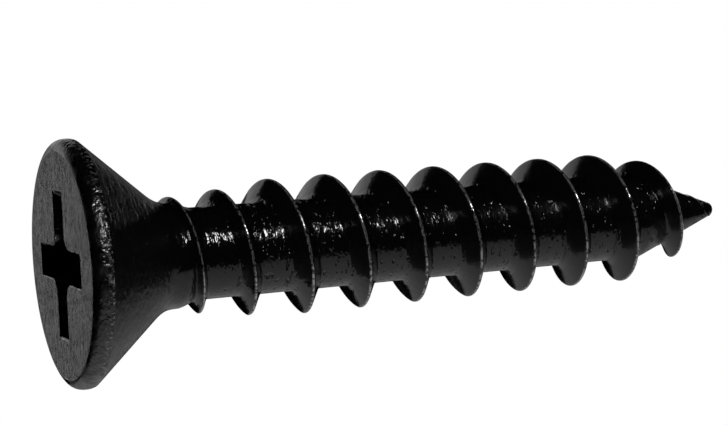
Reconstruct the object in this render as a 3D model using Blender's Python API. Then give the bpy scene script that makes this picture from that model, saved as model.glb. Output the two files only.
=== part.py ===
"""Countersunk sheet metal screw: flat head with a cross recess, coarse single thread, gimlet point.

The screw is one piece of cold-headed, thread-rolled wire. Lengths are in metres and +Z is up.
It stands on its flat head: the origin is the centre of the head's face, and its axis runs up
+Z to the point. The thread is right-handed.
"""

import math

import bmesh
import bpy

MM = 0.001

# Overall size, and a thread of 12 turns to the inch
LENGTH = 25.4 * MM
PITCH = 2.117 * MM
THREAD_DIAMETER = 4.76 * MM
CORE_DIAMETER = 3.15 * MM

# Countersunk head: flat face, rolled rim, cone, then a fillet down to the neck
HEAD_DIAMETER = 8.3 * MM
FACE_DIAMETER = 7.3 * MM
RIM_HEIGHT = 0.6 * MM
RIM_SQUARENESS = 2.6
HEAD_ANGLE = math.radians(82)
NECK_DIAMETER = 3.6 * MM
NECK_FILLET = 1.3 * MM
NECK_TAPER_LENGTH = 0.8 * MM

# Gimlet point: a cone with a blunt round end
POINT_ANGLE = math.radians(42)
POINT_END_RADIUS = 0.28 * MM

# Thread ridge: a narrow crest, a steep flank towards the head and a wider one towards the point
CREST_WIDTH = 0.09 * MM
HEAD_FLANK_ANGLE = math.radians(24)
POINT_FLANK_ANGLE = math.radians(32)
RIDGE_SINK = 0.25 * MM

# Run-out under the head: the ridge starts low and nearly square to the axis, then settles
RUNOUT_BEFORE_NECK = 1.4 * MM
RUNOUT_DIAMETER = 3.98 * MM
RUNOUT_LENGTH = 4.2 * MM
RUNOUT_SHIFT = 0.9 * MM

# Lag: the two rolling dies were out of step, so one side of each turn falls behind the helix
THREAD_LAG = 0.42 * MM
LAG_SPAN = math.radians(140)
LAG_END_LENGTH = 6.4 * MM
LAG_FADE = 4.2 * MM

# Run-in at the point: the crest follows a cone, a little stretched towards the tip, drops away
# short of it, and goes on as a faint trace
POINT_CREST_LENGTH = 4.2 * MM
POINT_CREST_ANGLE = math.radians(36)
THREAD_STOP_LENGTH = 2.05 * MM
TRACE_HEIGHT = 0.08 * MM
TRACE_STOP_LENGTH = 0.75 * MM
THREAD_DROP = 0.53 * MM
POINT_SHIFT = 0.14 * MM
RIDGE_FADE = 0.5 * MM

# Cross recess in the face: four tapering wings and a conical floor
RECESS_SPAN = 4.9 * MM
RECESS_WING_WIDTH = 1.1 * MM
RECESS_DEPTH = 2.4 * MM
RECESS_CORNER_RADIUS = 0.55 * MM
RECESS_CORNER_LIMIT = 0.8
RECESS_END_ANGLE = math.radians(26.5)
RECESS_SIDE_ANGLE = math.radians(4)
RECESS_FLOOR_ANGLE = math.radians(140)
RECESS_OVERCUT = 0.4 * MM

# Facets
SEGMENTS = 48
ARC_STEPS = 5
MERGE_DISTANCE = 0.001 * MM
SHARP_ANGLE = math.radians(25)

# Black oxide under a thin film of oil
BLACK_OXIDE_COLOUR = (0.018, 0.018, 0.02, 1.0)
BLACK_OXIDE_ROUGHNESS = 0.35


def clear_scene():
    for obj in list(bpy.data.objects):
        bpy.data.objects.remove(obj, do_unlink=True)


def clamp(value):
    return min(1.0, max(0.0, value))


def smooth_step(value):
    """Ease from 0 to 1 as the value goes from 0 to 1."""
    t = clamp(value)
    return t * t * (3 - 2 * t)


def rim_points():
    """The rolled edge of the head, a squared quarter ellipse from the face to the cone's sharp edge."""
    reach = (HEAD_DIAMETER - FACE_DIAMETER) / 2
    power = 2 / RIM_SQUARENESS
    points = []
    for step in range(ARC_STEPS + 1):
        turn = math.pi / 2 * step / ARC_STEPS
        radius = FACE_DIAMETER / 2 + reach * math.sin(turn) ** power
        points.append((radius, RIM_HEIGHT * (1 - math.cos(turn) ** power)))
    return points


def neck_start():
    """Height where the fillet under the cone meets the neck."""
    cone_meets_neck = RIM_HEIGHT + (HEAD_DIAMETER - NECK_DIAMETER) / 2 / math.tan(HEAD_ANGLE / 2)
    return cone_meets_neck + NECK_FILLET * math.tan(HEAD_ANGLE / 4)


def neck_points():
    """The hollow fillet from the cone to the neck, then the taper down to the core."""
    points = []
    for step in range(ARC_STEPS + 1):
        turn = HEAD_ANGLE / 2 * (1 - step / ARC_STEPS)
        radius = NECK_DIAMETER / 2 + NECK_FILLET * (1 - math.cos(turn))
        points.append((radius, neck_start() - NECK_FILLET * math.sin(turn)))
    points.append((CORE_DIAMETER / 2, neck_start() + NECK_TAPER_LENGTH))
    return points


def point_points():
    """The gimlet's cone and its round end, tangent to each other, up to the tip."""
    slope = POINT_ANGLE / 2
    round_centre = LENGTH - POINT_END_RADIUS
    tangent_radius = POINT_END_RADIUS * math.cos(slope)
    tangent_height = round_centre + POINT_END_RADIUS * math.sin(slope)
    cone_length = (CORE_DIAMETER / 2 - tangent_radius) / math.tan(slope)
    points = [(CORE_DIAMETER / 2, tangent_height - cone_length)]
    for step in range(ARC_STEPS + 1):
        turn = slope + (math.pi / 2 - slope) * step / ARC_STEPS
        radius = POINT_END_RADIUS * math.cos(turn)
        points.append((radius, round_centre + POINT_END_RADIUS * math.sin(turn)))
    points[-1] = (0.0, LENGTH)
    return points


def blank_profile():
    """Half section of the screw before its thread is rolled: (radius, height) from face to point."""
    return [(0.0, 0.0)] + rim_points() + neck_points() + point_points()


def blank_radius(height):
    """Radius of the blank at this height, read off its profile."""
    profile = blank_profile()
    for (r0, z0), (r1, z1) in zip(profile, profile[1:]):
        if z0 < z1 and z0 <= height <= z1:
            return r0 + (r1 - r0) * (height - z0) / (z1 - z0)
    return 0.0


def thread_start():
    return neck_start() - RUNOUT_BEFORE_NECK


def crest_radius(height):
    """Radius of the crest: low under the head, full along the shank, on a cone near the point."""
    rise = smooth_step((height - neck_start()) / RUNOUT_LENGTH)
    shank = (RUNOUT_DIAMETER + (THREAD_DIAMETER - RUNOUT_DIAMETER) * rise) / 2
    past_shank = height - (LENGTH - POINT_CREST_LENGTH)
    return min(shank, THREAD_DIAMETER / 2 - past_shank * math.tan(POINT_CREST_ANGLE / 2))


def ridge_height(height):
    """How far the crest stands above the blank. It sinks below the surface at both ends."""
    above = crest_radius(height) - blank_radius(height)
    stopped = smooth_step((height - (LENGTH - THREAD_STOP_LENGTH)) / THREAD_DROP)
    above += (TRACE_HEIGHT - above) * stopped
    from_start = (height - thread_start() - RUNOUT_SHIFT) / RIDGE_FADE
    from_end = (LENGTH - TRACE_STOP_LENGTH - height) / RIDGE_FADE
    sunk = -RIDGE_SINK / 2
    return sunk + (above - sunk) * smooth_step(min(from_start, from_end))


def thread_lag(along_helix):
    """How far the ridge falls behind its helix here: a smooth swell on one side of each turn."""
    turn = math.tau * (along_helix / PITCH % 1.0)
    swell = math.sin(math.pi * min(turn / LAG_SPAN, 1.0)) ** 2
    to_lag_end = LENGTH - LAG_END_LENGTH - along_helix
    return THREAD_LAG * swell * smooth_step(to_lag_end / LAG_FADE)


def ridge_section(along_helix):
    """Corners (radius, height) of the ridge where its helix has climbed this far."""
    settled = clamp((along_helix - thread_start()) / (RUNOUT_LENGTH + RUNOUT_BEFORE_NECK))
    tapering = clamp((along_helix - (LENGTH - POINT_CREST_LENGTH)) / POINT_CREST_LENGTH)
    crest = along_helix + RUNOUT_SHIFT * (1 - settled) ** 2 + POINT_SHIFT * smooth_step(2 * tapering)
    crest -= thread_lag(along_helix)
    above = ridge_height(crest)
    surface = blank_radius(crest)
    head_foot = CREST_WIDTH / 2 + (above + RIDGE_SINK) * math.tan(HEAD_FLANK_ANGLE)
    point_foot = CREST_WIDTH / 2 + (above + RIDGE_SINK) * math.tan(POINT_FLANK_ANGLE)
    return [
        (blank_radius(crest - head_foot) - RIDGE_SINK, crest - head_foot),
        (surface + above, crest - CREST_WIDTH / 2),
        (surface + above, crest + CREST_WIDTH / 2),
        (blank_radius(crest + point_foot) - RIDGE_SINK, crest + point_foot),
    ]


def mesh_object(name, bm):
    """Close the bmesh with its faces pointing out, and link it as an object of this name."""
    bmesh.ops.recalc_face_normals(bm, faces=bm.faces[:])
    mesh = bpy.data.meshes.new(name)
    bm.to_mesh(mesh)
    bm.free()
    obj = bpy.data.objects.new(name, mesh)
    bpy.context.scene.collection.objects.link(obj)
    return obj


def make_blank():
    """Turn the profile about the screw's axis."""
    bm = bmesh.new()
    corners = [bm.verts.new((radius, 0.0, height)) for radius, height in blank_profile()]
    edges = [bm.edges.new(pair) for pair in zip(corners, corners[1:])]
    bmesh.ops.spin(
        bm,
        geom=corners + edges,
        cent=(0.0, 0.0, 0.0),
        axis=(0.0, 0.0, 1.0),
        angle=math.tau,
        steps=SEGMENTS,
        use_merge=True,
    )
    bmesh.ops.remove_doubles(bm, verts=bm.verts[:], dist=MERGE_DISTANCE)
    return mesh_object("screw", bm)


def make_ridge():
    """Sweep the ridge's section up its helix, one station for each facet of the shank."""
    first = round(thread_start() / PITCH * SEGMENTS)
    last = round((LENGTH - TRACE_STOP_LENGTH) / PITCH * SEGMENTS)
    bm = bmesh.new()
    rings = []
    for station in range(first, last + 1):
        turn = math.tau * station / SEGMENTS
        section = ridge_section(PITCH * station / SEGMENTS)
        rings.append([bm.verts.new((r * math.cos(turn), r * math.sin(turn), z)) for r, z in section])
    for lower, upper in zip(rings, rings[1:]):
        for corner in range(len(lower)):
            after = (corner + 1) % len(lower)
            bm.faces.new((lower[corner], lower[after], upper[after], upper[corner]))
    bm.faces.new(rings[0])
    bm.faces.new(rings[-1])
    return mesh_object("thread_ridge", bm)


def cross_outline(depth):
    """The recess at this depth, as (x, y) corners all round. Its wings narrow and shorten inwards."""
    reach = RECESS_SPAN / 2 - depth * math.tan(RECESS_END_ANGLE)
    half_width = RECESS_WING_WIDTH / 2 - depth * math.tan(RECESS_SIDE_ANGLE)
    corner = min(RECESS_CORNER_RADIUS, RECESS_CORNER_LIMIT * (reach - half_width))
    wing = [(reach, -half_width), (reach, half_width)]
    for step in range(ARC_STEPS + 1):
        turn = math.pi / 2 * step / ARC_STEPS
        x = half_width + corner * (1 - math.sin(turn))
        y = half_width + corner * (1 - math.cos(turn))
        wing.append((x, y))
    outline = []
    for quarter in range(4):
        cos, sin = math.cos(math.pi / 2 * quarter), math.sin(math.pi / 2 * quarter)
        outline += [(x * cos - y * sin, x * sin + y * cos) for x, y in wing]
    return outline


def make_recess_cutter():
    """Loft the cross from below the face up to its full depth, and close it with a shallow cone."""
    bm = bmesh.new()
    rings = []
    for depth in (-RECESS_OVERCUT, RECESS_DEPTH):
        rings.append([bm.verts.new((x, y, depth)) for x, y in cross_outline(depth)])
    lower, upper = rings
    floor_reach = RECESS_SPAN / 2 - RECESS_DEPTH * math.tan(RECESS_END_ANGLE)
    floor_rise = floor_reach / math.tan(RECESS_FLOOR_ANGLE / 2)
    apex = bm.verts.new((0.0, 0.0, RECESS_DEPTH + floor_rise))
    for corner in range(len(lower)):
        after = (corner + 1) % len(lower)
        bm.faces.new((lower[corner], lower[after], upper[after], upper[corner]))
        bm.faces.new((upper[corner], upper[after], apex))
    bm.faces.new(lower)
    return mesh_object("recess_cutter", bm)


def add_boolean(target, tool, operation):
    """Join or cut the target with a tool object, which itself stays out of the render."""
    boolean = target.modifiers.new(tool.name, "BOOLEAN")
    boolean.operation = operation
    boolean.solver = "EXACT"
    boolean.object = tool
    tool.hide_render = True
    tool.display_type = "WIRE"


def black_oxide():
    """Blackened steel under a thin film of oil."""
    material = bpy.data.materials.new("black_oxide_steel")
    material.use_nodes = True
    shader = material.node_tree.nodes["Principled BSDF"]
    shader.inputs["Base Color"].default_value = BLACK_OXIDE_COLOUR
    shader.inputs["Metallic"].default_value = 0.0
    shader.inputs["Roughness"].default_value = BLACK_OXIDE_ROUGHNESS
    return material


def main():
    clear_scene()
    screw = make_blank()
    screw.data.shade_smooth()
    screw.data.set_sharp_from_angle(angle=SHARP_ANGLE)
    add_boolean(screw, make_ridge(), "UNION")
    add_boolean(screw, make_recess_cutter(), "DIFFERENCE")
    screw.data.materials.append(black_oxide())


main()
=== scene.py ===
"""Looks of a black countersunk sheet metal screw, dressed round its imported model.

Lengths are in metres, in the model's own frame: the screw stands on its flat head with the centre
of the face at the origin, and its axis runs up +Z to the point.
"""

import math

import bmesh
import bpy
from mathutils import Matrix, Vector


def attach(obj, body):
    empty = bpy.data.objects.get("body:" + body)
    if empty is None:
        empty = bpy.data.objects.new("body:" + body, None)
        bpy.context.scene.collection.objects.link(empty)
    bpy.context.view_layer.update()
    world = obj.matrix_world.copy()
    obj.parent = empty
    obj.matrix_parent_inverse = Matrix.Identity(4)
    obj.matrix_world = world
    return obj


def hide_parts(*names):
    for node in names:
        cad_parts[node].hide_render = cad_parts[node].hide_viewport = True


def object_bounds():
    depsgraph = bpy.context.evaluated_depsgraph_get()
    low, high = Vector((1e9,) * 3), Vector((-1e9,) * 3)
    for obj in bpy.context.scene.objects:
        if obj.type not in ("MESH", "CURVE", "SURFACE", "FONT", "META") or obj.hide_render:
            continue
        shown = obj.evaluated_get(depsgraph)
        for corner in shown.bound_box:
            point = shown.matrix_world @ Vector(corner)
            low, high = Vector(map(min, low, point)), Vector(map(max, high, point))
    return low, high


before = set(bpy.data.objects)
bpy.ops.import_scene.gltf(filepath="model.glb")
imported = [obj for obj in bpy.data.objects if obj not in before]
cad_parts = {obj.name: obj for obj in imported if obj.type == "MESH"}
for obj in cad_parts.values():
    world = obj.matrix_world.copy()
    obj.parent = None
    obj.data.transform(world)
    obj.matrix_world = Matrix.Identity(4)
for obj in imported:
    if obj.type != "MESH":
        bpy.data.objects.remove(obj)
cad_low, cad_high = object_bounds()


# Head
# The head is upset cold from the end of the wire: a flat face, a rolled rim, and an 82 degree
# cone that runs down towards the neck. It is turned here as far as a ring on the cone, where
# the thread's section takes over.
MM = 0.001
LENGTH = cad_high.z
HEAD_DIAMETER = cad_high.x - cad_low.x
FACE_DIAMETER = 7.3 * MM
RIM_HEIGHT = 0.6 * MM
RIM_SQUARENESS = 2.6
RIM_WIDEST_HEIGHT = 0.46 * MM
RIM_STEPS = 10
REAR_EDGE_INSET = 0.028 * MM
REAR_EDGE_STEPS = 4
REAR_EDGE_WIDTH = 0.04 * MM
HEAD_ANGLE = math.radians(82)
REAR_EDGE_HEIGHT = RIM_HEIGHT + REAR_EDGE_INSET / math.tan(HEAD_ANGLE / 2)
CONE_RING_HEIGHT = 2.6 * MM
CONE_STEPS = 6
FACETS = 128


def cone_radius(height):
    """Radius of the head's cone, carried on as far as it is asked for."""
    return HEAD_DIAMETER / 2 - (height - RIM_HEIGHT) * math.tan(HEAD_ANGLE / 2)


def head_profile():
    """Half section of the head as (radius, height): face, barrel-shaped rim, rear edge, cone."""
    reach = (HEAD_DIAMETER - FACE_DIAMETER) / 2
    power = 2 / RIM_SQUARENESS
    points = [(0.0, 0.0)]
    for step in range(RIM_STEPS + 1):
        turn = math.pi / 2 * step / RIM_STEPS
        radius = FACE_DIAMETER / 2 + reach * math.sin(turn) ** power
        points.append((radius, RIM_WIDEST_HEIGHT * (1 - math.cos(turn) ** power)))
    for step in range(1, REAR_EDGE_STEPS + 1):
        share = step / REAR_EDGE_STEPS
        height = RIM_WIDEST_HEIGHT + (REAR_EDGE_HEIGHT - RIM_WIDEST_HEIGHT) * share
        points.append((HEAD_DIAMETER / 2 - REAR_EDGE_INSET * share**2, height))
    cone_start = REAR_EDGE_HEIGHT + REAR_EDGE_WIDTH
    for step in range(CONE_STEPS + 1):
        height = cone_start + (CONE_RING_HEIGHT - cone_start) * step / CONE_STEPS
        points.append((cone_radius(height), height))
    return points


def turned(name, profile):
    """Turn a profile about the screw's axis, face by face, with its faces pointing outwards."""
    bm = bmesh.new()
    rings = []
    angles = [math.tau * facet / FACETS for facet in range(FACETS)]
    for radius, height in profile:
        if radius == 0:
            rings.append([bm.verts.new((0.0, 0.0, height))] * FACETS)
            continue
        ring = [(radius * math.cos(angle), radius * math.sin(angle), height) for angle in angles]
        rings.append([bm.verts.new(corner) for corner in ring])
    for lower, upper in zip(rings, rings[1:]):
        for facet in range(FACETS):
            after = (facet + 1) % FACETS
            corners = [lower[facet], lower[after], upper[after], upper[facet]]
            bm.faces.new(list(dict.fromkeys(corners)))
    bmesh.ops.recalc_face_normals(bm, faces=bm.faces[:])
    mesh = bpy.data.meshes.new(name)
    bm.to_mesh(mesh)
    bm.free()
    made = bpy.data.objects.new(name, mesh)
    bpy.context.scene.collection.objects.link(made)
    return made


screw = turned("sheet_metal_screw", head_profile())


# Finish of the screw
# Steel blackened in an oxide bath and dipped in oil, and rubbed bright along the thread's crest
# and the head's edges by tumbling with other screws. The oxide is written darker than in the
# record, to reach the photograph's blacks.
OXIDE_COLOUR = (0.002, 0.002, 0.0022, 1.0)
BARE_STEEL_COLOUR = (0.42, 0.41, 0.40, 1.0)


def new_group(name, inputs, outputs):
    """A shader node group with named inputs, given as (name, value), and named outputs."""
    group = bpy.data.node_groups.new(name, "ShaderNodeTree")
    for label, value in inputs:
        kind = "NodeSocketVector" if label == "Vector" else "NodeSocketFloat"
        socket = group.interface.new_socket(label, in_out="INPUT", socket_type=kind)
        if kind == "NodeSocketFloat":
            socket.default_value = value
    for label in outputs:
        group.interface.new_socket(label, in_out="OUTPUT", socket_type="NodeSocketFloat")
    entry = group.nodes.new("NodeGroupInput")
    leave = group.nodes.new("NodeGroupOutput")
    leave.location.x = 1200
    return group, entry.outputs, leave.inputs


def place(tree, kind, **inputs):
    """Add a node, and link or set each named input. A double underscore picks an input by number."""
    node = tree.nodes.new(kind)
    node.location = (180 * (len(tree.nodes) % 12), -220 * (len(tree.nodes) // 12))
    for label, value in inputs.items():
        key = int(label[2:]) if label.startswith("__") else label.replace("_", " ")
        socket = node.inputs[key]
        if isinstance(value, bpy.types.NodeSocket):
            tree.links.new(value, socket)
        else:
            socket.default_value = value
    return node


def math_node(tree, operation, *values):
    """Add a Math node and return its result."""
    node = place(tree, "ShaderNodeMath", **{f"__{slot}": value for slot, value in enumerate(values)})
    node.operation = operation
    return node.outputs[0]


def ramp(tree, value, low, high, smooth=True):
    """Rise from 0 to 1 as the value goes from low to high."""
    node = place(tree, "ShaderNodeMapRange", Value=value, From_Min=low, From_Max=high)
    node.interpolation_type = "SMOOTHSTEP" if smooth else "LINEAR"
    return node.outputs["Result"]


def noise(tree, vector, scale, detail=2.0, roughness=0.5):
    """Soft noise from 0 to 1, about 0.5 on the whole."""
    node = place(tree, "ShaderNodeTexNoise", Vector=vector, Scale=scale, Detail=detail,
                 Roughness=roughness)
    return node.outputs["Fac"]


PIT_THRESHOLD = (0.58, 0.78)


def make_grain_group():
    """Grain of the coat on a coarser mottle, with scattered pits, drawn out along the screw or not."""
    group, given, out = new_group(
        "oxide_grain",
        [("Vector", None), ("Grain Size", 0.05 * MM), ("Mottle Size", 0.3 * MM), ("Mottle Share", 0.4),
         ("Pit Size", 0.3 * MM), ("Pit Share", 0.0)],
        ["Height", "Mottle"],
    )
    where = given["Vector"]
    grain = noise(group, where, math_node(group, "DIVIDE", 1.0, given["Grain Size"]), detail=2.0)
    mottle = noise(group, where, math_node(group, "DIVIDE", 1.0, given["Mottle Size"]), detail=3.0)
    pits = noise(group, where, math_node(group, "DIVIDE", 1.0, given["Pit Size"]), detail=1.0)
    weighted = math_node(group, "MULTIPLY_ADD", mottle, given["Mottle Share"], grain)
    sunk = math_node(group, "MULTIPLY", ramp(group, pits, *PIT_THRESHOLD), given["Pit Share"])
    group.links.new(math_node(group, "SUBTRACT", weighted, sunk), out["Height"])
    group.links.new(mottle, out["Mottle"])
    return group


WEAR_SOFTNESS = 0.06


def make_wear_group():
    """Where the coat is rubbed through: along an edge, broken up by noise."""
    group, given, out = new_group(
        "rubbed_edge",
        [("Vector", None), ("Edge", 0.0), ("Break Size", 0.2 * MM), ("Coverage", 0.6)],
        ["Bare"],
    )
    scale = math_node(group, "DIVIDE", 1.0, given["Break Size"])
    patches = noise(group, given["Vector"], scale, detail=4.0, roughness=0.65)
    reach = math_node(group, "SUBTRACT", math_node(group, "ADD", patches, given["Coverage"]), 1.0)
    kept = ramp(group, reach, -WEAR_SOFTNESS, WEAR_SOFTNESS)
    group.links.new(math_node(group, "MULTIPLY", kept, given["Edge"]), out["Bare"])
    return group


GRAIN = make_grain_group()
WEAR = make_wear_group()


def use_group(tree, group, **inputs):
    """Place a shader node group in a material with its own values, and return its outputs."""
    node = tree.nodes.new("ShaderNodeGroup")
    node.node_tree = group
    for label, value in inputs.items():
        socket = node.inputs[label.replace("_", " ")]
        if isinstance(value, bpy.types.NodeSocket):
            tree.links.new(value, socket)
        else:
            socket.default_value = value
    return node.outputs


def mix(tree, factor, first, second):
    """Mix two numbers, or two colours where they are given as four numbers."""
    colours = isinstance(first, tuple)
    node = tree.nodes.new("ShaderNodeMix")
    node.data_type = "RGBA" if colours else "FLOAT"
    slots = (6, 7) if colours else (2, 3)
    tree.links.new(factor, node.inputs[0])
    for slot, value in zip(slots, (first, second)):
        if isinstance(value, bpy.types.NodeSocket):
            tree.links.new(value, node.inputs[slot])
        else:
            node.inputs[slot].default_value = value
    return node.outputs[2 if colours else 0]


def new_material(name):
    """A material with its node tree, its shader, and where each point lies on the piece."""
    material = bpy.data.materials.new(name)
    material.use_nodes = True
    tree = material.node_tree
    where = tree.nodes.new("ShaderNodeTexCoord").outputs["Object"]
    return material, tree, tree.nodes["Principled BSDF"], where


def blacken(tree, shader, height, relief, roughness, bare):
    """Black oxide with a relief, and bare steel where the mask says so."""
    tree.links.new(mix(tree, bare, OXIDE_COLOUR, BARE_STEEL_COLOUR), shader.inputs["Base Color"])
    tree.links.new(bare, shader.inputs["Metallic"])
    tree.links.new(roughness, shader.inputs["Roughness"])
    bump = place(tree, "ShaderNodeBump", Height=height, Distance=relief, Strength=1.0)
    tree.links.new(bump.outputs["Normal"], shader.inputs["Normal"])


def drawn_out(tree, where, stretch):
    """Coordinates in which a pattern is finer by the stretch along each axis."""
    return place(tree, "ShaderNodeMapping", Vector=where, Scale=stretch).outputs[0]


SATIN_ENDS = (2.4 * MM, 3.9 * MM)
PITS_BEGIN = (3.9 * MM, 6.5 * MM)
FAR_TURNS = (9 * MM, 16 * MM)
PIT_STRENGTH = 1.8
SATIN_ROUGHNESS = (0.2, 0.16)
GLOSS_ROUGHNESS = (0.15, 0.04)
FAR_DULLING = 0.04
FAR_CALM = 0.4
FLANK_CALM = 0.65
SKIN_RELIEF = 0.03 * MM


def skin_material():
    """The cone is satin, as the die left it, and the rolled shank is wrinkled but glossy."""
    material, tree, shader, where = new_material("black_oxide_skin")
    height = place(tree, "ShaderNodeSeparateXYZ", Vector=where).outputs["Z"]
    flank = place(tree, "ShaderNodeAttribute")
    flank.attribute_name = "flank"
    ironed = flank.outputs["Fac"]
    core = math_node(tree, "SUBTRACT", ramp(tree, height, *PITS_BEGIN), ironed)
    pitted = math_node(tree, "MULTIPLY", math_node(tree, "MAXIMUM", core, 0.0), PIT_STRENGTH)
    coat = use_group(tree, GRAIN, Vector=drawn_out(tree, where, (1.0, 1.0, 2.0)),
                     Grain_Size=0.3 * MM, Mottle_Size=0.9 * MM, Mottle_Share=0.5,
                     Pit_Size=0.3 * MM, Pit_Share=pitted)
    far = ramp(tree, height, *FAR_TURNS)
    satin = math_node(tree, "MULTIPLY_ADD", coat["Mottle"], *SATIN_ROUGHNESS)
    dulled = math_node(tree, "MULTIPLY_ADD", far, FAR_DULLING, GLOSS_ROUGHNESS[1])
    gloss = math_node(tree, "MULTIPLY_ADD", coat["Mottle"], GLOSS_ROUGHNESS[0], dulled)
    roughness = mix(tree, ramp(tree, height, *SATIN_ENDS), satin, gloss)
    on_flank = math_node(tree, "MULTIPLY_ADD", ironed, -FLANK_CALM, 1.0)
    on_far_turns = math_node(tree, "MULTIPLY_ADD", far, -FAR_CALM, 1.0)
    wrinkles = math_node(tree, "MULTIPLY", coat["Height"], on_flank)
    wrinkles = math_node(tree, "MULTIPLY", wrinkles, on_far_turns)
    crest = place(tree, "ShaderNodeAttribute")
    crest.attribute_name = "crest"
    bare = use_group(tree, WEAR, Vector=where, Edge=crest.outputs["Fac"], Break_Size=0.12 * MM,
                     Coverage=0.5)["Bare"]
    blacken(tree, shader, wrinkles, SKIN_RELIEF, roughness, bare)
    return material


RIM_ROUGHNESS = (1.0, -0.25)
RIM_SPECULAR = 0.65
RIM_RELIEF = 0.07 * MM
RIM_COAT_MEAN = 0.9
RIM_RISES = (0.01 * MM, 0.22 * MM)
REAR_EDGE_RUB = (0.3 * MM, 0.6 * MM)
REAR_EDGE_SHARE = 0.45


def rim_material():
    """The rim is mottled, where the steel was free to bulge, and its rear edge is rubbed."""
    material, tree, shader, where = new_material("black_oxide_rim")
    coat = use_group(tree, GRAIN, Vector=where, Grain_Size=0.22 * MM, Mottle_Size=0.6 * MM,
                     Mottle_Share=0.8)
    rough = math_node(tree, "MULTIPLY_ADD", coat["Mottle"], *RIM_ROUGHNESS)
    height = place(tree, "ShaderNodeSeparateXYZ", Vector=where).outputs["Z"]
    rear_edge = math_node(tree, "MULTIPLY", ramp(tree, height, *REAR_EDGE_RUB), REAR_EDGE_SHARE)
    bare = use_group(tree, WEAR, Vector=where, Edge=rear_edge, Break_Size=0.12 * MM,
                     Coverage=0.42)["Bare"]
    centred = math_node(tree, "SUBTRACT", coat["Height"], RIM_COAT_MEAN)
    raised = math_node(tree, "MULTIPLY", centred, ramp(tree, height, *RIM_RISES))
    shader.inputs["Specular IOR Level"].default_value = RIM_SPECULAR
    blacken(tree, shader, raised, RIM_RELIEF, rough, bare)
    return material


FACE_PIT_SPACING = 0.3 * MM
FACE_PIT_THRESHOLD = (0.66, 0.72)
FACE_ROUGHNESS = (0.15, 0.12)
FACE_RELIEF = 0.03 * MM
FACE_RUB_WIDTH = 0.08 * MM


def face_material():
    """The flat face is satin with faint marks from the punch's travel, and its edge is rubbed."""
    material, tree, shader, where = new_material("black_oxide_face")
    coat = use_group(tree, GRAIN, Vector=drawn_out(tree, where, (0.2, 1.6, 1.0)),
                     Grain_Size=0.12 * MM, Mottle_Size=0.4 * MM, Mottle_Share=0.8)
    pits = ramp(tree, noise(tree, where, 1 / FACE_PIT_SPACING, detail=2.0), *FACE_PIT_THRESHOLD)
    parts = place(tree, "ShaderNodeSeparateXYZ", Vector=where)
    across = math_node(tree, "ADD", math_node(tree, "POWER", parts.outputs["X"], 2.0),
                       math_node(tree, "POWER", parts.outputs["Y"], 2.0))
    rub_start = FACE_DIAMETER / 2 - FACE_RUB_WIDTH
    edge = ramp(tree, math_node(tree, "SQRT", across), rub_start, FACE_DIAMETER / 2)
    rough = math_node(tree, "MULTIPLY_ADD", coat["Mottle"], *FACE_ROUGHNESS)
    bare = use_group(tree, WEAR, Vector=where, Edge=edge, Coverage=0.25)["Bare"]
    pitted = math_node(tree, "SUBTRACT", coat["Height"], pits)
    blacken(tree, shader, pitted, FACE_RELIEF, rough, bare)
    return material


LIP_RUB = (0.02 * MM, 0.1 * MM)
RECESS_ROUGHNESS = (0.2, 0.02)
RECESS_RELIEF = 0.03 * MM


def recess_material():
    """The walls of the recess carry fine drag marks along the punch's stroke, and its lip is rubbed."""
    material, tree, shader, where = new_material("black_oxide_recess")
    coat = use_group(tree, GRAIN, Vector=drawn_out(tree, where, (1.0, 1.0, 0.5)),
                     Grain_Size=0.15 * MM, Mottle_Size=0.4 * MM, Mottle_Share=0.4)
    depth = place(tree, "ShaderNodeSeparateXYZ", Vector=where).outputs["Z"]
    lip = math_node(tree, "SUBTRACT", 1.0, ramp(tree, depth, *LIP_RUB))
    rough = math_node(tree, "MULTIPLY_ADD", coat["Mottle"], *RECESS_ROUGHNESS)
    bare = use_group(tree, WEAR, Vector=where, Edge=lip, Break_Size=0.2 * MM, Coverage=0.42)["Bare"]
    blacken(tree, shader, coat["Height"], RECESS_RELIEF, rough, bare)
    return material


skin = skin_material()
rim = rim_material()
face = face_material()
punched = recess_material()
for material in (skin, rim, face, punched):
    screw.data.materials.append(material)
SKIN_SLOT, RIM_SLOT, FACE_SLOT = 0, 1, 2
FACE_EDGE_HEIGHT = 0.01 * MM
for polygon in screw.data.polygons:
    if polygon.center.z < FACE_EDGE_HEIGHT:
        polygon.material_index = FACE_SLOT
    elif polygon.center.z < REAR_EDGE_HEIGHT:
        polygon.material_index = RIM_SLOT
    else:
        polygon.material_index = SKIN_SLOT


# Shank and thread
# The neck, the shank and the gimlet point, with one right-hand thread of 12 turns to the inch
# rolled into the wire between two flat dies. One ribbon, a pitch wide, winds round the whole
# length, and its radius is the blank's with the ridge on top.
THREAD_SIZES = {
    "Pitch": 2.117 * MM,
    "Thread Radius": 2.38 * MM,
    "Core Radius": 1.575 * MM,
    "Neck Radius": 1.8 * MM,
    "Neck Taper": 0.8 * MM,
    "Neck Softness": 0.5 * MM,
    "Crest Width": 0.09 * MM,
    "Head Flank Slope": math.tan(math.radians(24)),
    "Point Flank Slope": math.tan(math.radians(32)),
    "Crest Softness": 0.1 * MM,
    "Foot Softness": 0.14 * MM,
    "Run-out Radius": 1.99 * MM,
    "Run-out Length": 4.2 * MM,
    "Run-out Shift": 0.9 * MM,
    "Point Crest Length": 4.2 * MM,
    "Point Crest Slope": math.tan(math.radians(18)),
    "Point Shift": 0.14 * MM,
    "Thread Stop": 2.05 * MM,
    "Thread Drop": 0.53 * MM,
    "Trace Height": 0.08 * MM,
    "Trace Stop": 0.75 * MM,
    "Lag": 0.42 * MM,
    "Lag Start": 0.0,
    "Lag Span": 140 / 360,
    "Lag End": 19.0 * MM,
    "Lag Fade": 4.2 * MM,
}
NECK_FILLET = 1.3 * MM
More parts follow.
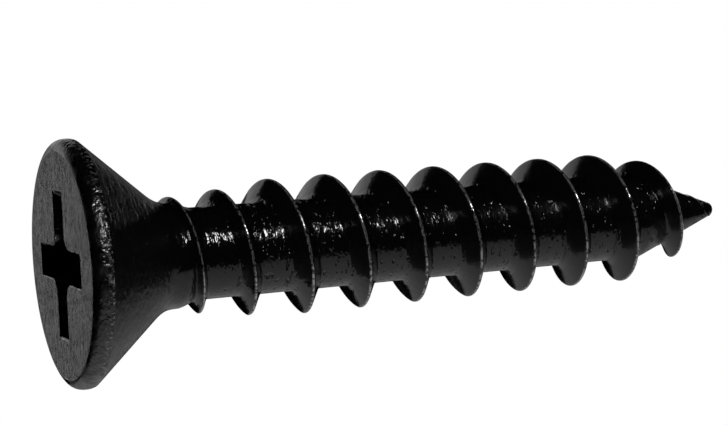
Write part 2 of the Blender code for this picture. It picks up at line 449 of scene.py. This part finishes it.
RUNOUT_BEFORE_NECK = 1.4 * MM
POINT_SLOPE = math.tan(math.radians(21))
POINT_END_RADIUS = 0.28 * MM
CONE_HEIGHT = (HEAD_DIAMETER / 2 - THREAD_SIZES["Neck Radius"]) / math.tan(HEAD_ANGLE / 2)
NECK_START = RIM_HEIGHT + CONE_HEIGHT + NECK_FILLET * math.tan(HEAD_ANGLE / 4)
THREAD_SIZES["Length"] = LENGTH
THREAD_SIZES["Ring Height"] = CONE_RING_HEIGHT
THREAD_SIZES["Neck Start"] = NECK_START
THREAD_SIZES["Thread Start"] = NECK_START - RUNOUT_BEFORE_NECK
TURNS = 13
ROWS = 48
# Rows across the ribbon as (share of the rows, share of the pitch), closest at the crest.
ROW_SPACING = [(0, 0), (0.16, 0.33), (0.42, 0.472), (0.54, 0.525), (0.8, 0.78), (1, 1)]
BEAD_HEIGHT = 0.02 * MM
BEAD_WIDTH = 0.08 * MM
BEAD_GAP = 0.16 * MM
BEAD_START = 13.0 * MM
NICK_DEPTH = 0.014 * MM
NICK_SIZE = 0.35 * MM
SUNK_DEPTH = 0.125 * MM
FADE_LENGTH = 0.5 * MM
FLANK_FOOT = (0.05 * MM, 0.2 * MM)
CREST_WEAR_DEPTH = (0.004 * MM, 0.022 * MM)
CREST_WEAR_RISE = 0.1 * MM
CREST_WEAR_SHARE = 0.5
MERGE_DISTANCE = 0.001 * MM


def blank_radius(tree, size, height):
    """The wire's radius before its thread is rolled: cone, neck, core, then the point's round end."""
    def calc(operation, *values):
        return math_node(tree, operation, *values)

    past_rim = calc("SUBTRACT", height, RIM_HEIGHT)
    drawn_in = calc("MULTIPLY", past_rim, math.tan(HEAD_ANGLE / 2))
    cone = calc("SUBTRACT", HEAD_DIAMETER / 2, drawn_in)
    neck_end = calc("ADD", size["Neck Start"], size["Neck Taper"])
    past_neck = ramp(tree, height, size["Neck Start"], neck_end)
    narrowing = calc("MULTIPLY", past_neck, calc("SUBTRACT", size["Neck Radius"], size["Core Radius"]))
    neck = calc("SUBTRACT", size["Neck Radius"], narrowing)
    head_side = calc("SMOOTH_MAX", cone, neck, size["Neck Softness"])
    slope = math.atan(POINT_SLOPE)
    round_centre = calc("SUBTRACT", size["Length"], POINT_END_RADIUS)
    round_start = calc("ADD", round_centre, POINT_END_RADIUS * math.sin(slope))
    into_round = calc("SUBTRACT", calc("MAXIMUM", height, round_start), round_centre)
    square = calc("SUBTRACT", POINT_END_RADIUS**2, calc("MULTIPLY", into_round, into_round))
    round_end = calc("SQRT", calc("MAXIMUM", square, 0.0))
    before_round = calc("MAXIMUM", calc("SUBTRACT", round_start, height), 0.0)
    point = calc("MULTIPLY_ADD", before_round, POINT_SLOPE, round_end)
    return calc("MINIMUM", head_side, point)


def rolled_thread_tree():
    """Geometry nodes that add the neck, shank and point to the head's open cone."""
    tree = bpy.data.node_groups.new("rolled_thread", "GeometryNodeTree")
    new_socket = tree.interface.new_socket
    new_socket("Geometry", in_out="INPUT", socket_type="NodeSocketGeometry")
    for label in THREAD_SIZES:
        new_socket(label, in_out="INPUT", socket_type="NodeSocketFloat")
    for label in ("Turns", "Facets", "Rows"):
        new_socket(label, in_out="INPUT", socket_type="NodeSocketInt")
    new_socket("Skin", in_out="INPUT", socket_type="NodeSocketMaterial")
    new_socket("Geometry", in_out="OUTPUT", socket_type="NodeSocketGeometry")
    size = tree.nodes.new("NodeGroupInput").outputs

    def calc(operation, *values):
        return math_node(tree, operation, *values)

    def shifted(wound, lag):
        """Height on the helix: moved up at the run-out and near the point, and back by the lag."""
        runout = calc("ADD", size["Run-out Length"], RUNOUT_BEFORE_NECK)
        settled_at = calc("ADD", size["Thread Start"], runout)
        settled = ramp(tree, wound, size["Thread Start"], settled_at, smooth=False)
        unsettled = calc("SUBTRACT", 1.0, settled)
        moved = calc("MULTIPLY", size["Run-out Shift"], calc("MULTIPLY", unsettled, unsettled))
        taper_start = calc("SUBTRACT", size["Length"], size["Point Crest Length"])
        half_taper = calc("MULTIPLY_ADD", size["Point Crest Length"], 0.5, taper_start)
        near_point = ramp(tree, wound, taper_start, half_taper)
        moved = calc("MULTIPLY_ADD", size["Point Shift"], near_point, moved)
        lag_fades = calc("SUBTRACT", size["Lag End"], size["Lag Fade"])
        shank_share = calc("SUBTRACT", 1.0, ramp(tree, wound, lag_fades, size["Lag End"]))
        moved = calc("SUBTRACT", moved, calc("MULTIPLY", lag, shank_share))
        return calc("ADD", wound, moved)

    stations = calc("MULTIPLY_ADD", size["Turns"], size["Facets"], 1.0)
    grid = place(tree, "GeometryNodeMeshGrid", Size_X=1.0, Size_Y=1.0,
                 Vertices_X=stations, Vertices_Y=calc("ADD", size["Rows"], 1.0))
    on_grid = tree.nodes.new("GeometryNodeInputPosition").outputs[0]
    flat = place(tree, "ShaderNodeSeparateXYZ", Vector=on_grid)
    turns = calc("MULTIPLY", calc("ADD", flat.outputs["X"], 0.5), size["Turns"])
    round_turn = calc("FRACT", calc("SUBTRACT", turns, size["Lag Start"]))
    lag_turn = calc("MINIMUM", calc("DIVIDE", round_turn, size["Lag Span"]), 1.0)
    lag_rise = calc("SINE", calc("MULTIPLY", lag_turn, math.pi))
    lag = calc("MULTIPLY", size["Lag"], calc("MULTIPLY", lag_rise, lag_rise))
    spacing = place(tree, "ShaderNodeFloatCurve", Value=calc("ADD", flat.outputs["Y"], 0.5))
    points = spacing.mapping.curves[0].points
    for row, share in ROW_SPACING[1:-1]:
        points.new(row, share)
    for point in points:
        point.handle_type = "VECTOR"
    spacing.mapping.update()
    from_crest = calc("MULTIPLY", calc("SUBTRACT", spacing.outputs["Value"], 0.5), size["Pitch"])
    crest_wound = calc("MULTIPLY", turns, size["Pitch"])
    crest_height = shifted(crest_wound, lag)
    height = shifted(calc("ADD", crest_wound, from_crest), lag)
    height = calc("MINIMUM", calc("MAXIMUM", height, size["Ring Height"]), size["Length"])

    risen_at = calc("ADD", size["Neck Start"], size["Run-out Length"])
    rise = ramp(tree, crest_height, size["Neck Start"], risen_at)
    full = calc("SUBTRACT", size["Thread Radius"], size["Run-out Radius"])
    shank_crest = calc("MULTIPLY_ADD", full, rise, size["Run-out Radius"])
    into_taper = calc("ADD", calc("SUBTRACT", crest_height, size["Length"]), size["Point Crest Length"])
    tapered = calc("MULTIPLY", into_taper, size["Point Crest Slope"])
    point_crest = calc("SUBTRACT", size["Thread Radius"], tapered)
    crest_radius = calc("MINIMUM", shank_crest, point_crest)
    above = calc("SUBTRACT", crest_radius, blank_radius(tree, size, crest_height))
    stop = calc("SUBTRACT", size["Length"], size["Thread Stop"])
    stopped = ramp(tree, crest_height, stop, calc("ADD", stop, size["Thread Drop"]))
    dropped = calc("MULTIPLY", stopped, calc("SUBTRACT", size["Trace Height"], above))
    above = calc("ADD", above, dropped)
    started = calc("ADD", size["Thread Start"], size["Run-out Shift"])
    begun = ramp(tree, crest_height, started, calc("ADD", started, FADE_LENGTH))
    ended_at = calc("SUBTRACT", size["Length"], size["Trace Stop"])
    ended = ramp(tree, crest_height, calc("SUBTRACT", ended_at, FADE_LENGTH), ended_at)
    standing = calc("MULTIPLY", begun, calc("SUBTRACT", 1.0, ended))
    above = calc("MULTIPLY_ADD", calc("ADD", above, SUNK_DEPTH), standing, -SUNK_DEPTH)

    half_crest = calc("MULTIPLY", size["Crest Width"], 0.5)
    head_run = calc("DIVIDE", calc("ADD", from_crest, half_crest), size["Head Flank Slope"])
    point_run = calc("DIVIDE", calc("SUBTRACT", half_crest, from_crest), size["Point Flank Slope"])
    flanks = calc("ADD", calc("MINIMUM", head_run, point_run), above)
    ridge = calc("SMOOTH_MIN", flanks, above, size["Crest Softness"])
    ridge = calc("SMOOTH_MAX", ridge, 0.0, size["Foot Softness"])
    head_foot = calc("MULTIPLY_ADD", above, size["Head Flank Slope"], calc("ADD", half_crest, BEAD_GAP))
    from_bead = calc("DIVIDE", calc("ADD", from_crest, head_foot), BEAD_WIDTH)
    bead = calc("MAXIMUM", calc("SUBTRACT", 1.0, calc("MULTIPLY", from_bead, from_bead)), 0.0)
    bead_share = ramp(tree, crest_height, BEAD_START, calc("ADD", size["Pitch"], BEAD_START))
    bead = calc("MULTIPLY", calc("MULTIPLY", bead, bead), bead_share)
    flank = ramp(tree, ridge, *FLANK_FOOT)
    below_crest = calc("SUBTRACT", above, ridge)
    crest = calc("SUBTRACT", 1.0, ramp(tree, below_crest, *CREST_WEAR_DEPTH))
    crest = calc("MULTIPLY", crest, ramp(tree, above, 0.0, CREST_WEAR_RISE))
    worn_to = calc("MULTIPLY", half_crest, CREST_WEAR_SHARE)
    crest = calc("MULTIPLY", crest, calc("LESS_THAN", from_crest, worn_to))

    angle = calc("MULTIPLY", turns, math.tau)
    cosine, sine = calc("COSINE", angle), calc("SINE", angle)
    raised = calc("MULTIPLY_ADD", bead, BEAD_HEIGHT, ridge)
    smooth_radius = calc("ADD", blank_radius(tree, size, height), raised)
    on_surface = place(tree, "ShaderNodeCombineXYZ", X=calc("MULTIPLY", smooth_radius, cosine),
                       Y=calc("MULTIPLY", smooth_radius, sine), Z=height)
    nicks = calc("SUBTRACT", noise(tree, on_surface.outputs[0], 1 / NICK_SIZE, detail=3.0), 0.5)
    radius = calc("MULTIPLY_ADD", calc("MULTIPLY", nicks, crest), NICK_DEPTH, smooth_radius)
    place_at = place(tree, "ShaderNodeCombineXYZ", X=calc("MULTIPLY", radius, cosine),
                     Y=calc("MULTIPLY", radius, sine), Z=height)
    marked = place(tree, "GeometryNodeStoreNamedAttribute", Geometry=grid.outputs["Mesh"],
                   Name="crest", Value=crest)
    marked = place(tree, "GeometryNodeStoreNamedAttribute", Geometry=marked.outputs[0],
                   Name="flank", Value=flank)
    shank = place(tree, "GeometryNodeSetPosition", Geometry=marked.outputs[0],
                  Position=place_at.outputs[0])

    joined = tree.nodes.new("GeometryNodeJoinGeometry")
    tree.links.new(size["Geometry"], joined.inputs[0])
    tree.links.new(shank.outputs[0], joined.inputs[0])
    merged = place(tree, "GeometryNodeMergeByDistance", Geometry=joined.outputs[0],
                   Distance=MERGE_DISTANCE)
    in_place = tree.nodes.new("GeometryNodeInputPosition").outputs[0]
    where = place(tree, "ShaderNodeSeparateXYZ", Vector=in_place)
    on_shank = calc("GREATER_THAN", where.outputs["Z"], size["Ring Height"])
    real = place(tree, "GeometryNodeRealizeInstances", Geometry=merged.outputs[0])
    finished = place(tree, "GeometryNodeSetMaterial", Geometry=real.outputs[0], Selection=on_shank,
                     Material=size["Skin"])
    tree.links.new(finished.outputs[0], tree.nodes.new("NodeGroupOutput").inputs[0])
    return tree


thread = screw.modifiers.new("rolled_thread", "NODES")
thread.node_group = rolled_thread_tree()
settings = {**THREAD_SIZES, "Turns": TURNS, "Facets": FACETS, "Rows": ROWS, "Skin": skin}
for item in thread.node_group.interface.items_tree:
    if item.in_out == "INPUT" and item.name in settings:
        thread[item.identifier] = settings[item.name]


# Cross recess
# The recess is punched into the face while the head is upset. Four wings narrow and shorten
# inwards to a shallow cone, and the punch leaves a small rounded lip at the face.
RECESS_SPAN = 4.9 * MM
WING_WIDTH = 1.1 * MM
RECESS_DEPTH = 2.4 * MM
SHOULDER_RADIUS = 0.55 * MM
SHOULDER_SHARE = 0.8
WING_END_RADIUS = 0.12 * MM
END_SLOPE = math.tan(math.radians(26.5))
SIDE_SLOPE = math.tan(math.radians(4))
FLOOR_SLOPE = math.tan(math.radians(20))
LIP_RADIUS = 0.05 * MM
LIP_STEPS = 4
OVERCUT = 0.4 * MM
ARC_STEPS = 8
SHARP_ANGLE = math.radians(35)


def arc(centre, radius, start):
    """Quarter circle about a centre, from the start angle anticlockwise."""
    angles = [start + math.pi / 2 * step / ARC_STEPS for step in range(ARC_STEPS + 1)]
    return [(centre[0] + radius * math.cos(a), centre[1] + radius * math.sin(a)) for a in angles]


def cross_outline(depth, swell):
    """Corners all round the recess at a depth, grown outwards by the swell."""
    reach = RECESS_SPAN / 2 - depth * END_SLOPE + swell
    half_width = WING_WIDTH / 2 - depth * SIDE_SLOPE + swell
    room = SHOULDER_SHARE * (reach - half_width - WING_END_RADIUS)
    shoulder = min(SHOULDER_RADIUS, room) - swell
    tip = (reach - WING_END_RADIUS, half_width - WING_END_RADIUS)
    wing = arc((tip[0], -tip[1]), WING_END_RADIUS, -math.pi / 2) + arc(tip, WING_END_RADIUS, 0.0)
    inside = (half_width + shoulder, half_width + shoulder)
    wing += list(reversed(arc(inside, shoulder, math.pi)))
    outline = []
    for quarter in range(4):
        cosine, sine = math.cos(math.pi / 2 * quarter), math.sin(math.pi / 2 * quarter)
        outline += [(x * cosine - y * sine, x * sine + y * cosine) for x, y in wing]
    return outline


def recess_levels():
    """Depths down the punch with the lip's swell at each, from below the face to the full depth."""
    levels = [(-OVERCUT, LIP_RADIUS)]
    for step in range(LIP_STEPS + 1):
        turn = math.pi / 2 * step / LIP_STEPS
        levels.append((LIP_RADIUS * (1 - math.cos(turn)), LIP_RADIUS * (1 - math.sin(turn))))
    return levels + [(RECESS_DEPTH, 0.0)]


def make_punch():
    """The punch as a closed solid, which cuts the recess and leaves its own material there."""
    bm = bmesh.new()
    rings = []
    for depth, swell in recess_levels():
        rings.append([bm.verts.new((x, y, depth)) for x, y in cross_outline(max(depth, 0.0), swell)])
    floor_rise = (RECESS_SPAN / 2 - RECESS_DEPTH * END_SLOPE) * FLOOR_SLOPE
    apex = bm.verts.new((0.0, 0.0, RECESS_DEPTH + floor_rise))
    corners = len(rings[0])
    for corner in range(corners):
        after = (corner + 1) % corners
        for lower, upper in zip(rings, rings[1:]):
            bm.faces.new((lower[corner], lower[after], upper[after], upper[corner]))
        bm.faces.new((rings[-1][corner], rings[-1][after], apex))
    bm.faces.new(rings[0])
    bmesh.ops.recalc_face_normals(bm, faces=bm.faces[:])
    mesh = bpy.data.meshes.new("punch")
    bm.to_mesh(mesh)
    bm.free()
    mesh.materials.append(punched)
    made = bpy.data.objects.new("punch", mesh)
    bpy.context.scene.collection.objects.link(made)
    return made


def sharpen_flat_face(mesh):
    """Keep the flat face flat in its shading, up to the rim and the recess's lip."""
    bm = bmesh.new()
    bm.from_mesh(mesh)
    for edge in bm.edges:
        kinds = {max(corner.co.z for corner in face.verts) < MERGE_DISTANCE
                 for face in edge.link_faces}
        if len(kinds) > 1:
            edge.smooth = False
    bm.to_mesh(mesh)
    bm.free()


punch = make_punch()
cut = screw.modifiers.new("cross_recess", "BOOLEAN")
cut.operation = "DIFFERENCE"
cut.solver = "EXACT"
cut.object = punch
cut.material_mode = "TRANSFER"

shaped = screw.evaluated_get(bpy.context.evaluated_depsgraph_get())
finished = bpy.data.meshes.new_from_object(shaped)
screw.modifiers.clear()
for slot in reversed(range(len(finished.materials))):
    if finished.materials[slot] is None:
        finished.materials.pop(index=slot)
screw.data = finished
screw.data.shade_smooth()
screw.data.set_sharp_from_angle(angle=SHARP_ANGLE)
sharpen_flat_face(screw.data)
bpy.data.objects.remove(punch)
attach(screw, "root")
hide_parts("screw")


# Floor, backdrop and lamps
# A white table in white surroundings, lit from overhead. The screw's black gloss mirrors a tent
# of black cloth with windows of grey net, a soft box, a white card and two weak strips. The
# photograph looks up from just under the face, so the table is clear from below.
FLOOR_SIZE = 1.2
FLOOR_HEIGHT = -0.02 * MM
FLOOR_COLOUR = (0.86, 0.86, 0.86, 1.0)
FLOOR_ROUGHNESS = 0.9
ROOM_LEVEL = 0.55


def make_floor():
    """The table, a hair under the face. It shows from above alone, and the gloss doesn't show it."""
    mesh = bpy.data.meshes.new("table")
    half = FLOOR_SIZE / 2
    corners = [(-half, -half, FLOOR_HEIGHT), (half, -half, FLOOR_HEIGHT), (half, half, FLOOR_HEIGHT),
               (-half, half, FLOOR_HEIGHT)]
    mesh.from_pydata(corners, [], [(0, 1, 2, 3)])
    material = bpy.data.materials.new("white_table")
    material.use_nodes = True
    tree = material.node_tree
    shader = tree.nodes["Principled BSDF"]
    shader.inputs["Base Color"].default_value = FLOOR_COLOUR
    shader.inputs["Roughness"].default_value = FLOOR_ROUGHNESS
    shader.inputs["Specular IOR Level"].default_value = 0.0
    clear = tree.nodes.new("ShaderNodeBsdfTransparent")
    under = tree.nodes.new("ShaderNodeNewGeometry").outputs["Backfacing"]
    either = tree.nodes.new("ShaderNodeMixShader")
    tree.links.new(under, either.inputs[0])
    tree.links.new(shader.outputs[0], either.inputs[1])
    tree.links.new(clear.outputs[0], either.inputs[2])
    tree.links.new(either.outputs[0], tree.nodes["Material Output"].inputs["Surface"])
    mesh.materials.append(material)
    floor = bpy.data.objects.new("table", mesh)
    bpy.context.scene.collection.objects.link(floor)
    floor.visible_glossy = False
    floor.visible_shadow = False


def make_room():
    """White all round for the camera and for gloss, at a plain grey level as a light."""
    world = bpy.data.worlds.new("studio")
    world.use_nodes = True
    bpy.context.scene.world = world
    tree = world.node_tree
    tree.nodes.clear()
    path = tree.nodes.new("ShaderNodeLightPath").outputs
    mirrored = math_node(tree, "MAXIMUM", path["Is Glossy Ray"], path["Is Transmission Ray"])
    seen = math_node(tree, "MAXIMUM", path["Is Camera Ray"], mirrored)
    strength = math_node(tree, "MULTIPLY_ADD", path["Is Diffuse Ray"], ROOM_LEVEL, seen)
    background = place(tree, "ShaderNodeBackground", Color=(1.0, 1.0, 1.0, 1.0), Strength=strength)
    tree.links.new(background.outputs[0], tree.nodes.new("ShaderNodeOutputWorld").inputs[0])


TENT_SIDES = (-0.32, 0.32)
TENT_FRONT, TENT_BACK = -0.32, 0.2
BACK_LEVELS = (-0.32, -0.1, -0.02, 0.055, 0.32)
BACK_COLUMNS = (-0.32, -0.1, -0.02, 0.06, 0.32)
WINDOWS = ((1, 1), (1, 2), (2, 1))
CLOTH_COLOUR = (0.0, 0.0, 0.0, 1.0)
NET_COLOUR = (0.6, 0.6, 0.6, 1.0)


def cloth(name, shader_kind, colour):
    """A cloth of one plain shader."""
    material = bpy.data.materials.new(name)
    material.use_nodes = True
    tree = material.node_tree
    tree.nodes.remove(tree.nodes["Principled BSDF"])
    shader = place(tree, shader_kind, Color=colour)
    tree.links.new(shader.outputs[0], tree.nodes["Material Output"].inputs["Surface"])
    return material


def make_tent():
    """Black cloth all round, seen in the gloss alone, with windows of grey net behind the screw."""
    mesh = bpy.data.meshes.new("black_tent")
    corners = [(x, y, z) for x in TENT_SIDES for y in (TENT_FRONT, TENT_BACK) for z in TENT_SIDES]
    faces = [(0, 2, 3, 1), (4, 5, 7, 6), (0, 1, 5, 4), (0, 4, 6, 2), (1, 3, 7, 5)]
    slots = [0] * len(faces)
    for row, (top, bottom) in enumerate(zip(BACK_LEVELS, BACK_LEVELS[1:])):
        for column, (left, right) in enumerate(zip(BACK_COLUMNS, BACK_COLUMNS[1:])):
            first = len(corners)
            window = ((top, left), (bottom, left), (bottom, right), (top, right))
            corners += [(x, TENT_BACK, z) for x, z in window]
            faces.append(tuple(range(first, first + 4)))
            slots.append(1 if (row, column) in WINDOWS else 0)
    mesh.from_pydata(corners, [], faces)
    mesh.materials.append(cloth("black_cloth", "ShaderNodeBsdfDiffuse", CLOTH_COLOUR))
    mesh.materials.append(cloth("grey_net", "ShaderNodeBsdfTransparent", NET_COLOUR))
    for polygon, slot in zip(mesh.polygons, slots):
        polygon.material_index = slot
    tent = bpy.data.objects.new("black_tent", mesh)
    bpy.context.scene.collection.objects.link(tent)
    tent.visible_camera = False
    tent.visible_diffuse = False
    tent.visible_transmission = False
    tent.visible_shadow = False


def panel(name, centre, aim, width, height, radiance, spread=math.pi, in_gloss=True):
    """A flat soft lamp with its height upright, seen in the gloss alone or lighting the rest alone."""
    data = bpy.data.lights.new(name, "AREA")
    data.shape = "RECTANGLE"
    data.size, data.size_y = width, height
    data.energy = radiance * math.pi * width * height
    data.spread = spread
    light = bpy.data.objects.new(name, data)
    light.location = centre
    light.rotation_mode = "QUATERNION"
    light.rotation_quaternion = Vector(aim).to_track_quat("-Z", "Y")
    light.visible_camera = False
    light.visible_glossy = in_gloss
    light.visible_diffuse = not in_gloss
    bpy.context.scene.collection.objects.link(light)


SOFT_BOX_CENTRE = Vector((-0.129, -0.149, 0.0325))
SOFT_BOX_SIZE = (0.05, 0.045)
SOFT_BOX_RADIANCE = 28.0
CARD_OFFSET = 0.04
CARD_FRONT, CARD_BACK = -0.07, 0.1
CARD_LOW, CARD_HIGH = -0.04, 0.123
CARD_RADIANCE = 0.4
CARD_SPREAD = math.radians(156)
REAR_STRIP_CENTRE = (-0.04, 0.95 * TENT_BACK, 0.15)
REAR_STRIP_SIZE = (0.05, 0.12)
REAR_STRIP_RADIANCE = 0.16
POINT_STRIP_CENTRE = (0.0, 0.12, 0.15)
POINT_STRIP_AIM = (0, -0.12, -0.137)
POINT_STRIP_SIZE = (0.06, 0.1)
POINT_STRIP_RADIANCE = 1.6
OVERHEAD_CENTRE = (0.0, 0.0, LENGTH / 2 + 0.3)
OVERHEAD_SIZE = (0.2, 0.2)
OVERHEAD_RADIANCE = 3.0

make_floor()
make_room()
make_tent()
card_centre = (CARD_OFFSET, (CARD_FRONT + CARD_BACK) / 2, (CARD_LOW + CARD_HIGH) / 2)
card_size = (CARD_BACK - CARD_FRONT, CARD_HIGH - CARD_LOW)
panel("soft_box", SOFT_BOX_CENTRE, -SOFT_BOX_CENTRE, *SOFT_BOX_SIZE, SOFT_BOX_RADIANCE)
panel("white_card", card_centre, (-1, 0, 0), *card_size, CARD_RADIANCE, spread=CARD_SPREAD)
panel("rear_strip", REAR_STRIP_CENTRE, (0, -1, 0), *REAR_STRIP_SIZE, REAR_STRIP_RADIANCE)
panel("overhead", OVERHEAD_CENTRE, (0, 0, -1), *OVERHEAD_SIZE, OVERHEAD_RADIANCE, in_gloss=False)
panel("point_strip", POINT_STRIP_CENTRE, POINT_STRIP_AIM, *POINT_STRIP_SIZE, POINT_STRIP_RADIANCE)


# Camera
# The photograph was taken from close in front, a little below the head's face. The place, aim
# and focal length were fitted to its crest lines, face edge, rim and point.
CAMERA_DISTANCE = 61.71 * MM
CAMERA_HEIGHT = -15.73 * MM
CAMERA_TURN = math.radians(6.75)
CAMERA_YAW = math.radians(23.42)
CAMERA_PITCH = math.radians(0.79)
CAMERA_ROLL = math.radians(-4.97)
FOCAL_LENGTH_IN_PIXELS = 1911.4
IMAGE_WIDTH = 728
SENSOR_WIDTH = 36.0
NEAREST, FARTHEST = 0.001, 10.0


def make_camera():
    """The screw's axis runs to the right across the image, so the camera's right is +Z."""
    data = bpy.data.cameras.new("camera")
    data.sensor_width = SENSOR_WIDTH
    data.lens = FOCAL_LENGTH_IN_PIXELS / IMAGE_WIDTH * SENSOR_WIDTH
    data.clip_start = NEAREST
    data.clip_end = FARTHEST
    camera = bpy.data.objects.new("camera", data)
    level = Matrix(((0, -1, 0), (0, 0, -1), (1, 0, 0)))
    aim = level @ Matrix.Rotation(-CAMERA_YAW, 3, "Y") @ Matrix.Rotation(CAMERA_PITCH, 3, "X")
    aim = aim @ Matrix.Rotation(CAMERA_ROLL, 3, "Z")
    round_axis = Matrix.Rotation(-CAMERA_TURN, 4, "Z")
    place_at = Matrix.Translation((0, -CAMERA_DISTANCE, CAMERA_HEIGHT))
    camera.matrix_world = round_axis @ place_at @ aim.to_4x4()
    bpy.context.scene.collection.objects.link(camera)
    bpy.context.scene.camera = camera


make_camera()
bpy.context.scene.view_settings.view_transform = "Standard"
